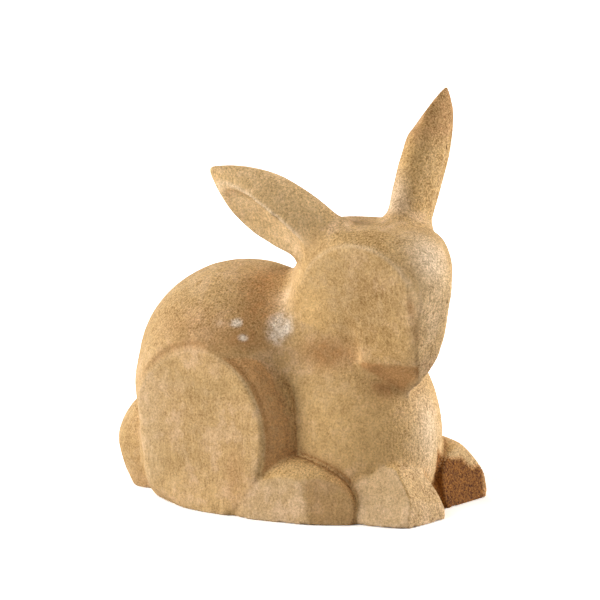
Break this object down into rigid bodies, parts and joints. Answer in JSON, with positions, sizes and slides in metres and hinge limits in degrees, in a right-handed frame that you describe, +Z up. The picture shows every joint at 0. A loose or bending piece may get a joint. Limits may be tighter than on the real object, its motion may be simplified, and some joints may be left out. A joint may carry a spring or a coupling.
{
  "type": "rabbit statue",
  "caption": "Crouching rabbit carved from a single block of sandstone, head turned to its right, ears apart, drum-flat haunches, round tail.",
  "frame": {"origin": "on the floor plane, in the middle of the flat underside, on the midline of the trunk", "axes": "+Z up, -Y towards the rabbit's front, +X towards its left side"},
  "size_m": [0.1712, 0.2901, 0.307],
  "materials": {
    "sandstone": "matte, tooled stone"
  },
  "bodies": {
    "root": {"trunk": "sandstone", "head": "sandstone", "ear_left": "sandstone", "ear_right": "sandstone", "thigh_left": "sandstone", "thigh_right": "sandstone", "hind_foot_left": "sandstone", "hind_foot_right": "sandstone", "forepaw_left": "sandstone", "forepaw_right": "sandstone", "tail": "sandstone"}
  },
  "joints": []
}
